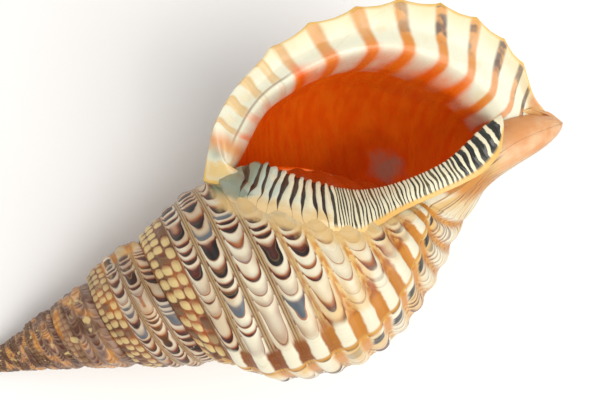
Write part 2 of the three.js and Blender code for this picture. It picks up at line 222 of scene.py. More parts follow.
def reliefAt(turn, place):
    cord = (place - relief["firstCord"]) / relief["cordPitch"]
    onCords = between(place, *relief["cordPlaces"])
    wave = np.cos(2 * np.pi * cord)
    cords = relief["cordRise"] * np.sign(wave) * np.abs(wave) ** relief["cordRoundness"] * onCords
    threads = relief["threadRise"] * np.cos(2 * np.pi * cord * relief["threads"])
    threads = threads * (1 - ease(wave, -0.2, 0.5))
    cords = cords + threads * onCords
    beads = 0
    for (at, width, _, rise), count in zip(relief["beadRows"], beadCounts(turn, place)):
        swelling = 0.5 - 0.5 * np.cos(2 * np.pi * count)
        beads = beads + rise * bell(place - at, width) * (0.25 + 0.75 * swelling**0.6)
    alongTurn, acrossWhorl = relief["growthLines"]
    lines = relief["growthRise"] * wander(turn * alongTurn, place * acrossWhorl, 3) * ease(place, 0.02, 0.1)
    oldLip = relief["varixRise"] * varixAmount(turn, place)
    oldLip = oldLip * ease(place, 0, 0.08) * (1 - ease(place, 0.85, 1))
    alongTurn, acrossWhorl = relief["lumps"]
    lumps = relief["lumpRise"] * wander(turn * alongTurn, place * acrossWhorl, 8)
    scale = growth["lengthening"] ** turn
    return (cords + beads + lines + oldLip + lumps * ease(place, 0, 0.06)) * scale


# how far the lip's edge stands out at its points and falls back between them
def scallop(place):
    points = [np.exp(-np.abs(place - at) / lip["scallopWidth"]) for at in lip["scallops"]]
    shown = between(place, *lip["scallopPlaces"])
    return lip["scallopDepth"] * (np.max(points, axis=0) - 0.4) * shown


def edgePoint(place):
    edge = lipEdgeAt(place)
    return edge + unit(edge - whorl(0, place)) * scallop(place)[..., None]


# the outside of the shell at a turn and a place
def skin(turn, place):
    turn, place = np.broadcast_arrays(np.asarray(turn, float), np.asarray(place, float))
    flare = np.clip((turn + lip["flareStart"]) / lip["flareStart"], 0, 1) ** lip["flarePower"]
    raised = reliefAt(turn, place) * (1 - flare)
    flared = (edgePoint(place) - whorl(0, place)) * flare[..., None]
    return whorl(turn, place) + outward(turn, place) * raised[..., None] + flared


# the corner where the lip's upper end meets the last whorl, to which the surfaces on both sides are drawn
# over a short reach of the place and of the turn
corner = {"at": skin(0, 0), "reach": 0.035, "turns": 0.05}


def toCorner(points, turn, place):
    near = 1 - ease(np.abs(place - growth["joinPlace"]), 0, corner["reach"])
    near = near * (1 - ease(turn + 1, 0, corner["turns"]))
    return points + (corner["at"] - points) * near[..., None]


def wallInside(turn, place, thickness):
    return whorl(turn, place) - outward(turn, place) * np.asarray(thickness)[..., None]


# the neck that carries the canal: depth, middle x and z, half widths x and z; fitting is how fast a whorl's
# end takes the neck's shape, and closing how late it draws in to the tip
canal = {
    "neck": [
        (60, 0, 0, 3, 3), (150, 0, 1, 8, 8), (235, 1, 3, 12, 12), (255, 1.5, 3, 11.5, 12.5),
        (270, 3, 3, 11.5, 12.5), (281, 6, 3.5, 10.5, 12), (291, 10.5, 4, 10.5, 12), (309, 15.3, 4, 12.8, 12),
        (326, 16, 3, 11.6, 10), (337, 15.3, 2, 8, 6.5), (343.5, 14.5, 1.5, 0.5, 0.5),
    ],
    "tip": (14.5, -343.5, 1.5),
    "mouth": ((26, -330, 7), (28, -327, 6), (29.5, -322, 3)),
    "fitting": 3,
    "closing": 6,
    "hollowEndDepth": 317,
    "hollowEndGap": 2,
}
neckAt = through(canal["neck"])


def neckSurface(depth, angle):
    across = neckAt(depth)
    x = across[..., 0] + across[..., 2] * np.cos(angle)
    z = across[..., 1] + across[..., 3] * np.sin(angle)
    return np.stack([x, -np.asarray(depth), z], -1)


# from the lower end of a whorl down the neck to a point
def downNeck(start, angle, share, end):
    end = np.asarray(end, float)
    startDepth = -start[..., 1]
    depth = startDepth + (-end[..., 1] - startDepth) * share
    off = start - neckSurface(startDepth, angle)
    onNeck = neckSurface(depth, angle) + off * ((1 - share) ** canal["fitting"])[..., None]
    pull = (share ** canal["closing"])[..., None]
    return onNeck * (1 - pull) + end * pull


def turned(axis, degrees):
    return np.array(Matrix.Rotation(math.radians(degrees), 3, axis))


laidDown = turned("Y", -resting["spireDroop"]) @ turned("Z", 90) @ turned("Y", resting["roll"])


# sets points down in the frame, in metres, and flattens what would dip into the floor
def toFrame(points):
    placed = (np.asarray(points, float) @ laidDown.T + np.array(resting["spireTip"])) / 1000
    placed[..., 2] = np.maximum(placed[..., 2], 0)
    return placed


# a flat grid, rolled up by a function that takes its two directions, each 0 to 1, and gives points and named
# values; every grid here rolls with its lower side outside, so its faces are turned over
def rolledGrid(name, across, along, roll):
    bpy.ops.object.select_all(action="DESELECT")
    bpy.ops.mesh.primitive_grid_add(x_subdivisions=across, y_subdivisions=along, size=1)
    piece = bpy.context.object
    piece.name = name
    piece.data.name = name
    count = len(piece.data.vertices)
    flat = np.zeros(count * 3)
    piece.data.vertices.foreach_get("co", flat)
    flat = flat.reshape(-1, 3)
    points, named = roll(flat[:, 0] + 0.5, flat[:, 1] + 0.5)
    piece.data.vertices.foreach_set("co", toFrame(points).ravel())
    for label, numbers in named.items():
        stored = piece.data.attributes.new(label, "FLOAT_VECTOR", "POINT")
        values = [np.broadcast_to(number, count) for number in numbers]
        stored.data.foreach_set("vector", np.stack(values, -1).ravel())
    while piece.data.uv_layers:
        piece.data.uv_layers.remove(piece.data.uv_layers[0])
    piece.data.update()
    bpy.ops.object.mode_set(mode="EDIT")
    bpy.ops.mesh.select_all(action="SELECT")
    bpy.ops.mesh.flip_normals()
    bpy.ops.mesh.remove_doubles(threshold=1e-6)
    bpy.ops.object.mode_set(mode="OBJECT")
    bpy.ops.object.shade_smooth()
    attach(piece, "root")
    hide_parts("triton_shell")
    print(name, len(piece.data.polygons), "faces")
    return piece


spirePiece = {
    "rows": 1000,
    "across": 64,
    "firstTurn": -8,
    "lastTurn": -1,
    "crowding": 1.6,
    "tipRows": 14,
    "farFromMargin": 99,
}


def rollSpire(u, v):
    span = spirePiece["lastTurn"] - spirePiece["firstTurn"]
    turn = spirePiece["lastTurn"] - span * (1 - v) ** spirePiece["crowding"]
    place = u * growth["joinPlace"]
    joined = ease(place, growth["joinPlace"] - corner["reach"], growth["joinPlace"])[:, None]
    points = skin(turn, place) * (1 - joined) + skin(turn + 1, 0) * joined
    points = points * ease(v, 0, spirePiece["tipRows"] / spirePiece["rows"])[:, None] ** 0.5
    grown = (turn, place, spirePiece["farFromMargin"])
    glazes = (0, 0, pastVarix(turn, place))
    return points, {"growth": grown, "glazes": glazes, "beads": beadCounts(turn, place)}


# the inner lip: its outer margin on the last whorl and its edge in the mouth, as share along it, x, y, z
innerLip = {
    "margin": [
        (0, 44, -158, 23), (0.08, 32.7, -160, 36.5), (0.17, 27.6, -167, 44), (0.26, 22, -176, 49.5),
        (0.35, 13, -188, 53.2), (0.43, 5.6, -199, 53.3), (0.51, -1, -212, 49.8), (0.58, 0.7, -224, 42.6),
        (0.65, 2, -235, 34), (0.72, 2.5, -247, 26.5), (0.79, 3, -262, 23), (0.86, 4, -276, 21.5),
        (0.92, 6, -287, 20.5), (0.96, 12, -298, 19.5), (1, 23, -305, 18),
    ],
    "edge": [
        (0, 51, -163, 14), (0.08, 48, -180, 25), (0.17, 41, -188, 31), (0.26, 34, -195.5, 35.5),
        (0.35, 28.5, -203, 36.5), (0.43, 24, -209, 36), (0.51, 20, -217.5, 33.5), (0.58, 17.5, -226.5, 30),
        (0.65, 16, -236, 26.5), (0.72, 15.5, -248, 23.5), (0.79, 16, -260, 22), (0.86, 18, -272.5, 21),
        (0.92, 22, -283, 20.5), (0.96, 26.5, -293.5, 19.5), (1, 30, -306, 18),
    ],
    "along": 760,
    "across": 56,
    "topShare": 0.7,
    "underShare": 0.3,
    "crown": 2.6,
    "depth": 9,
    "cover": 1.2,
    "sinks": 2.6,
    "sinksOver": 0.3,
    "ridges": [(0.03, 0.43, 10, 1.3), (0.43, 0.86, 33, 0.6), (0.86, 0.99, 6, 1.0)],
    "ridgeEnd": 0.02,
    "slant": 0.07,
}
marginAt = through(innerLip["margin"])
innerEdgeAt = through(innerLip["edge"])
toothPoints = np.array(innerLip["edge"])[:, 1:]
marginPoints = np.array(innerLip["margin"])[:, 1:]

bodyPiece = {
    "rows": 340,
    "across": 215,
    "neckAcross": 35,
    "neckReach": 0.14,
    "glazeDepth": (292, 303),
    "glazeSide": (-0.5, 0.2),
    "underLip": (-0.75, -0.7),
    "mouthStarts": (155, 165),
    "covered": (157, 162, 298, 304),
}


# how far out from the axis the last whorl's front is, over what a point's own distance is; the place with the
# point's depth is found by halving
def frontShare(points, clearance):
    angle = np.arctan2(points[:, 2], points[:, 0])
    low, high = np.zeros(len(points)), np.ones(len(points))
    for _ in range(24):
        place = (low + high) / 2
        front = whorl((np.degrees(angle) - lipAngleAt(place)[..., 0]) / 360 - 1, place)
        above = -front[:, 1] < -points[:, 1]
        low, high = np.where(above, place, low), np.where(above, high, place)
    return (np.hypot(front[:, 0], front[:, 2]) + clearance) / np.hypot(points[:, 0], points[:, 2])


# moves points out from the axis by a share of their distance
def outFrom(points, share):
    return points * np.stack([share, np.ones_like(share), share], -1)


def clearOfFront(points, clearance):
    return outFrom(points, np.maximum(1, frontShare(points, clearance)))


# how far a point is from the inner lip's margin
def fromMargin(points):
    steps = 160
    margin = clearOfFront(marginAt(np.linspace(0, 1, steps)), 0)
    margin = np.concatenate([corner["at"][None], margin])
    return np.min([np.linalg.norm(points - stop, axis=-1) for stop in margin], axis=0)


def rollBody(u, v):
    turn = v - 1
    whorlShare = bodyPiece["across"] / (bodyPiece["across"] + bodyPiece["neckAcross"])
    place = np.minimum(u / whorlShare, 1)
    share = np.clip((u - whorlShare) / (1 - whorlShare), 0, 1)
    onWhorl = toCorner(skin(turn, place), turn, place)
    end = skin(turn, np.ones_like(turn))
    onNeck = downNeck(end, whorlAngle(turn, np.ones_like(turn)), share, canal["tip"])
    points = np.where((share > 0)[:, None], onNeck, onWhorl)
    depth = -points[:, 1]
    middle = neckAt(depth)
    facing = (points[:, 2] - middle[:, 1]) / middle[:, 3] + 0.5 * (points[:, 0] - middle[:, 0]) / middle[:, 2]
    glaze = ease(depth, *bodyPiece["glazeDepth"]) * ease(facing, *bodyPiece["glazeSide"])
    reach = place + share * bodyPiece["neckReach"]
    underLip = 1 - ease(turn, *bodyPiece["underLip"])
    toothLine = np.interp(depth, -toothPoints[:, 1], toothPoints[:, 0])
    inMouth = ease(points[:, 0], toothLine - 4, toothLine - 1) * underLip
    inMouth = inMouth * ease(depth, *bodyPiece["mouthStarts"])
    marginLine = np.interp(depth, -marginPoints[:, 1], marginPoints[:, 0])
    covered = ease(points[:, 0], marginLine, marginLine + 1) * underLip
    covered = covered * between(depth, *bodyPiece["covered"])
    glazes = (glaze, inMouth, pastVarix(turn, place))
    grown = (turn, reach, fromMargin(points) * (1 - covered))
    return points, {"growth": grown, "glazes": glazes, "beads": beadCounts(turn, place)}


spireWhorls = rolledGrid("spire_whorls", spirePiece["across"], spirePiece["rows"], rollSpire)
bodyAcross = bodyPiece["across"] + bodyPiece["neckAcross"]
lastWhorl = rolledGrid("last_whorl", bodyAcross, bodyPiece["rows"], rollBody)

# the mouth's lining: rings from the lip's edge back into the hollow, each as its turns back and the wall's
# thickness there; orangeEdge is the angle seen down the mouth and how far out the orange goes
mouthPiece = {
    "around": 300,
    "inwards": 150,
    "crowding": 1.6,
    "outerShare": 0.62,
    "neckShare": 0.08,
    "rimThickness": 2.2,
    "lipInset": 1.5,
    "dish": 1.6,
    "lipRings": (0.004, 0.01, 0.018),
    "hollowRings": [
        (0.03, 9.5), (0.07, 9.5), (0.12, 6.5), (0.18, 4.5), (0.26, 4), (0.35, 4), (0.45, 4), (0.56, 4),
        (0.68, 4), (0.8, 4), (0.93, 4), (1.07, 4), (1.22, 4), (1.38, 4),
    ],
    "hollowTop": 0.08,
    "topReach": 0.4,
    "wallTop": 0.4,
    "middle": (35, -230),
    "orangeEdge": [
        (0, 62), (12, 62), (23, 61.3), (34, 56.9), (47, 51.6), (59, 46.6), (72, 41.3), (88, 35.2),
        (107, 36.5), (125, 41.4), (141, 44.5), (154, 50.5), (165, 56.5), (174, 59.2), (183, 61.3),
        (200, 66), (230, 90), (350, 90), (360, 62),
    ],
    # the painted shadow line at the lip's step: angles seen down the mouth, and how far outside the orange's
    # edge it runs
    "ledgeShadowLine": ([0, 30, 47, 61, 76, 90, 180], [2, 3, 4.8, 5.9, 9.3, 14, 60]),
    "bands": (0.06, 0.13, 0.2, 0.265, 0.32, 0.41, 0.505, 0.59, 0.68, 0.765, 0.84, 0.9, 0.935, 0.965),
    "bandsEnd": 0.85,
    "noBand": -0.5,
}
orangeEdgeAt = through(mouthPiece["orangeEdge"])


# the three rings of the lip's inner side: the rounded rim, the dish behind it and the throat
def rimPoint(place):
    edge = edgePoint(place)
    inwards = unit(whorl(0, place) - edge)
    up = mouthPiece["rimThickness"] * (1 - ease(place, 0.8, 1.1))
    return edge + inwards * mouthPiece["rimThickness"] / 3 + np.stack([up * 0, up * 0, up], -1)


def throatPoint(place):
    return wallInside(0, place, np.full(np.shape(place), mouthPiece["lipInset"]))


def dishPoint(place):
    return (rimPoint(place) + throatPoint(place)) / 2 - np.array([0, 0, mouthPiece["dish"]])


# one ring: down the outer wall, along the neck to a point, back up along the inner wall
def ringPoints(around, back, outerPoint, end, edgeRing=False):
    outerShare, neckShare = mouthPiece["outerShare"], mouthPiece["neckShare"]
    top = 0 if edgeRing else mouthPiece["hollowTop"]
    down = np.clip(around / (outerShare - neckShare), 0, 1)
    outerPlace = down + top * (1 - ease(down, 0, mouthPiece["topReach"]))
    up = np.clip((1 - around) / (1 - outerShare - neckShare), 0, 1)
    innerTop = growth["joinPlace"] if edgeRing else mouthPiece["wallTop"]
    outer = outerPoint(outerPlace)
    innerPlace = innerTop + (1 - innerTop) * up
    inner = toCorner(skin(-1, innerPlace), -1, innerPlace) if edgeRing else whorl(-1 - back, innerPlace)
    outerNeck = np.clip((around - outerShare + neckShare) / neckShare, 0, 1)
    innerNeck = np.clip((outerShare + neckShare - around) / neckShare, 0, 1)
    one = np.ones(1)
    outerEnd = outerPoint(one)
    innerEnd = whorl(-1 - back, one)
    if edgeRing:
        outerDown = downNeck(outerEnd, whorlAngle(-back, one), outerNeck, end)
    else:
        outerDown = outerEnd + (np.asarray(end) - outerEnd) * outerNeck[:, None]
    innerDown = downNeck(innerEnd, whorlAngle(-1 - back, one), innerNeck, end)
    ring = np.where((around <= outerShare - neckShare)[:, None], outer, outerDown)
    ring = np.where((around > outerShare)[:, None], innerDown, ring)
    ring = np.where((around >= outerShare + neckShare)[:, None], inner, ring)
    if edgeRing:
        return ring
    nearTop = 1 - np.minimum(ease(around, 0, 0.03), ease(1 - around, 0, 0.03))
    meeting = (whorl(-1 - back, innerTop) + outerPoint(np.array(top))) / 2
    return ring * (1 - nearTop[:, None]) + meeting * nearTop[:, None]


# one ring of the hollow, some turns back from the lip
def hollowRing(around, back, thickness):
    scale = growth["lengthening"] ** -back
    endAngle = whorlAngle(-back, np.ones(1))
    onNeck = neckSurface(np.array([canal["hollowEndDepth"] * scale]), endAngle)[0]
    gap = np.array([np.cos(endAngle[0]), 0, np.sin(endAngle[0])]) * canal["hollowEndGap"] * scale

    def wall(place):
        return wallInside(-back, place, thickness * scale * (1 - ease(place, 0.85, 1.25)))

    return ringPoints(around, back, wall, onNeck + gap)


def mouthRings(around):
    rings = [ringPoints(around, 0, edgePoint, canal["tip"], edgeRing=True)]
    for back, point, end in zip(mouthPiece["lipRings"], (rimPoint, dishPoint, throatPoint), canal["mouth"]):
        rings.append(ringPoints(around, back, point, end))
    for back, thickness in mouthPiece["hollowRings"]:
        rings.append(hollowRing(around, back, thickness))
    return np.array(rings)


# how far outside the orange's edge a point of the mouth is, seen down the mouth, and in which direction
def orangeReach(points):
    x, y = points[:, 0] - mouthPiece["middle"][0], points[:, 1] - mouthPiece["middle"][1]
    angle = np.degrees(np.arctan2(x, y)) % 360
    return angle, np.hypot(x, y) - orangeEdgeAt(angle)[..., 0]


# the rings are joined by smooth curves, with the rows closest together at the lip
def rollMouth(u, v):
    columns = np.round(u * mouthPiece["around"]).astype(int)
    rings = mouthRings(np.linspace(0, 1, mouthPiece["around"] + 1))
    steps = np.linalg.norm(np.diff(rings, axis=0), axis=-1)
    along = np.concatenate([[0], np.cumsum(steps.mean(1))])
    reach = along[-1] * v ** mouthPiece["crowding"]
    ring = np.clip(np.searchsorted(along, reach, side="right") - 1, 0, len(along) - 2)
    share = ((reach - along[ring]) / (along[ring + 1] - along[ring]))[:, None]
    last = len(along) - 1
    before, after = np.maximum(ring - 1, 0), np.minimum(ring + 2, last)
    a, b = rings[ring, columns], rings[ring + 1, columns]
    leave = (b - rings[before, columns]) * 0.5
    arrive = (rings[after, columns] - a) * 0.5
    s2, s3 = share**2, share**3
    points = a * (2 * s3 - 3 * s2 + 1) + leave * (s3 - 2 * s2 + share)
    points = points + b * (3 * s2 - 2 * s3) + arrive * (s3 - s2)
    deep = np.concatenate([np.zeros((1, rings.shape[1])), np.cumsum(steps, 0)])
    inside = deep[ring, columns] * (1 - share[:, 0]) + deep[ring + 1, columns] * share[:, 0]
    place = np.clip(u / (mouthPiece["outerShare"] - mouthPiece["neckShare"]), 0, 1)
    bands = mouthPiece["bands"]
    band = np.interp(place, bands, np.arange(len(bands)), left=mouthPiece["noBand"])
    band = np.where(u > mouthPiece["bandsEnd"], mouthPiece["noBand"], band)
    angle, reach = orangeReach(points)
    angle = np.where(angle > 180, angle - 360, angle)
    ledgeShadowLine = reach - np.interp(angle, *mouthPiece["ledgeShadowLine"])
    fromCorner = np.linalg.norm(points - corner["at"], axis=-1)
    return points, {"mouth": (band, inside, fromCorner), "lipReach": (reach, ledgeShadowLine, angle)}


mouthLining = rolledGrid("mouth_lining", mouthPiece["around"], mouthPiece["inwards"], rollMouth)


# the ridges counted along the inner lip, and how high they are there
def ridgePhase(at):
    stops, counts = [0.0], [0.0]
    for start, end, count, _ in innerLip["ridges"]:
        stops += [start, end]
        counts += [counts[-1], counts[-1] + count]
    return np.interp(at, stops, counts)


def ridgeRise(at):
    fade = innerLip["ridgeEnd"]
    rises = []
    for start, end, _, rise in innerLip["ridges"]:
        rises.append(rise * between(at, start - fade, start + fade, end - fade, end + fade))
    return np.sum(rises, axis=0)


# at runs along the inner lip and over from its margin to its edge; then it turns under and back to the margin
def rollInnerLip(u, v):
    at = v
    topShare = innerLip["topShare"]
    over = np.clip(u / topShare, 0, 1)
    under = np.clip((u - topShare) / innerLip["underShare"], 0, 1)
    slanted = np.clip(at - innerLip["slant"] * (1 - over) * (1 - ease(at, 0.4, 0.5)), 0, 1)
    phase = ridgePhase(slanted + 0.004 * wander(at * 40, over * 4, 5))
    ridge = ridgeRise(at) * (0.5 + 0.5 * np.cos(2 * np.pi * phase)) ** 0.7 * ease(over, 0.1, 0.75)
    swell = innerLip["crown"] * np.sin(np.pi * np.clip(at, 0.1, 0.9)) * np.sin(np.pi * over**1.25)
    margin, edge = marginAt(at), innerEdgeAt(at)
    reach = over * (1 + ridge * 0.05 * (over > 0.98))
    top = margin + (edge - margin) * reach[:, None]
    lift = swell + ridge * (1 - ease(over, 0.96, 1) * 0.4)
    top[:, 2] += lift
    top = clearOfFront(top, innerLip["cover"] * ease(over, 0, 0.12) + ridge)
    onBody = outFrom(top, frontShare(top, innerLip["cover"] - innerLip["sinks"]))
    sunk = (1 - ease(over, 0, innerLip["sinksOver"])) * (1 - ease(at, 0.5, 0.6))
    top = top + (onBody - top) * sunk[:, None]
    down = np.array([0, 0, innerLip["depth"]])
    turnUnder = edge + (margin - edge) * 0.05 - down
    marginUnder = edge + (margin - edge) * 0.9 - down
    first = ease(under, 0, 0.35)[:, None]
    second = ease(under, 0.35, 0.75)[:, None]
    third = ease(under, 0.75, 1)[:, None]
    start = clearOfFront(margin, 0) - np.array([0, 0, 1]) * innerLip["sinks"]
    points = np.where((under > 0)[:, None], top * (1 - first) + turnUnder * first, top)
    points = points * (1 - second) + marginUnder * second
    points = points * (1 - third) + start * third
    return points, {"ledge": (at, over, phase)}


innerLipShield = rolledGrid("inner_lip", innerLip["across"], innerLip["along"], rollInnerLip)


# a socket with arithmetic, and one method that adds any node
class Wire:
    def __init__(self, tree, socket=None):
        self.tree = tree
        self.socket = socket

    def node(self, kind, settings, sockets, output=0):
        new = self.tree.nodes.new(kind)
        for name, value in settings.items():
            setattr(new, name, value)
        for name, value in sockets.items():
            if isinstance(value, Wire):
                self.tree.links.new(value.socket, new.inputs[name])
            else:
                new.inputs[name].default_value = value
        return Wire(self.tree, new.outputs[output])

    def math(self, operation, *values, clamp=False):
        sockets = dict(enumerate(values))
        return self.node("ShaderNodeMath", {"operation": operation, "use_clamp": clamp}, sockets)

    def __add__(self, other):
        return self.math("ADD", self, other)

    def __radd__(self, other):
        return self.math("ADD", other, self)

    def __sub__(self, other):
        return self.math("SUBTRACT", self, other)

    def __rsub__(self, other):
        return self.math("SUBTRACT", other, self)

    def __mul__(self, other):
        return self.math("MULTIPLY", self, other)

    def __rmul__(self, other):
        return self.math("MULTIPLY", other, self)

    def __truediv__(self, other):
        return self.math("DIVIDE", self, other)

    def __rtruediv__(self, other):
        return self.math("DIVIDE", other, self)

    def __pow__(self, other):
        return self.math("POWER", self, other)

    def __rpow__(self, other):
        return self.math("POWER", other, self)

    def __abs__(self):
        return self.math("ABSOLUTE", self)

    def floor(self):
        return self.math("FLOOR", self)

    def part(self):
        return self.math("FRACT", self)

    def sine(self):
        return self.math("SINE", self)

    def least(self, other):
        return self.math("MINIMUM", self, other)

    def most(self, other):
        return self.math("MAXIMUM", self, other)

    def limited(self):
        return self.math("ADD", self, 0, clamp=True)

    # 0 below low, 1 above high, and smooth between
    def rises(self, low, high):
        sockets = {"Value": self, "From Min": low, "From Max": high}
        return self.node("ShaderNodeMapRange", {"interpolation_type": "SMOOTHSTEP"}, sockets)

    def falls(self, low, high):
        return 1 - self.rises(low, high)

    # 1 near a value and 0 away from it
    def near(self, value, width):
        return abs(self - value).falls(0, width)

    # from one colour to another, each a wire or three numbers
    def mix(self, first, second):
        first, second = [end if isinstance(end, Wire) else (*end, 1) for end in (first, second)]
        return self.node("ShaderNodeMix", {"data_type": "RGBA"}, {0: self, 6: first, 7: second}, 2)


bumpDistance = 0.0006  # in metres, for all three of the shell's materials


# starts a material and gives it with a wire to begin its patterns from and its shader
def newMaterial(name, shaderValues):
    material = bpy.data.materials.new(name)
    material.use_nodes = True
    shader = material.node_tree.nodes["Principled BSDF"]
    for socket, value in shaderValues.items():
        shader.inputs[socket].default_value = value
    return material, Wire(material.node_tree), shader


# the three values that a mesh stores at its points under one name
def attribute(start, name):
    vector = start.node("ShaderNodeAttribute", {"attribute_name": name}, {}, "Vector")
    return [start.node("ShaderNodeSeparateXYZ", {}, {0: vector}, axis) for axis in ("X", "Y", "Z")]


def vectorOf(start, x, y, z=0.0):
    return start.node("ShaderNodeCombineXYZ", {}, {"X": x, "Y": y, "Z": z})


def noise(start, vector, detail=2.0, scale=1.0, roughness=0.5):
    sockets = {"Vector": vector, "Scale": scale, "Detail": detail, "Roughness": roughness}
    return start.node("ShaderNodeTexNoise", {}, sockets, "Fac")


# a value by chance, the same for the same three numbers
def chance(start, x, y, z=0.0):
    vector = vectorOf(start, x, y, z)
    return start.node("ShaderNodeTexWhiteNoise", {"noise_dimensions": "3D"}, {"Vector": vector}, "Value")


# joins a material's patterns to its shader
def finish(material, start, shader, baseColour, roughness, height):
    links = start.tree.links
    links.new(baseColour.socket, shader.inputs["Base Color"])
    links.new(roughness.socket, shader.inputs["Roughness"])
    bump = start.node("ShaderNodeBump", {}, {"Height": height, "Distance": bumpDistance, "Strength": 1.0})
    links.new(bump.socket, shader.inputs["Normal"])
    return material


# the outside: bowed marks on the cords, threads between them, beads by the suture and blocks on the old lips
outside = {
    "marksInTurn": 44,
    "stretch": 3.6,
    "bow": 0.95,
    "markHalf": 0.7,
    "thinnest": 0.08,
    "widest": 0.85,
    "lead": 0.92,
    "white": (0.80, 0.75, 0.57),
    "cream": (0.73, 0.47, 0.16),
    "lilac": (0.38, 0.27, 0.21),
    "gapTan": (0.50, 0.31, 0.085),
    "tan": (0.62, 0.24, 0.022),
    "threads": (0.15, 0.07, 0.013),
    "markPale": (0.44, 0.22, 0.10),
    "orangeBrown": (0.34, 0.075, 0.007),
    "maroon": (0.085, 0.009, 0.004),
    "nearBlack": (0.008, 0.004, 0.004),
    "slate": (0.13, 0.17, 0.20),
    "yellowLine": (0.62, 0.29, 0.03),
    "beadCream": (0.68, 0.51, 0.22),
    "beadGap": (0.11, 0.03, 0.005),
    "blockBrown": (0.19, 0.042, 0.005),
    "spireBrown": (0.085, 0.02, 0.004),
    "spireMauve": (0.22, 0.105, 0.07),
    "callus": (0.70, 0.47, 0.19),
    "callusPale": (0.62, 0.60, 0.44),
    "callusGrey": (0.12, 0.17, 0.11),
    "canalPink": (0.72, 0.32, 0.12),
    "canalPale": (0.84, 0.56, 0.32),
    "mouthRed": (0.40, 0.045, 0.003),
}


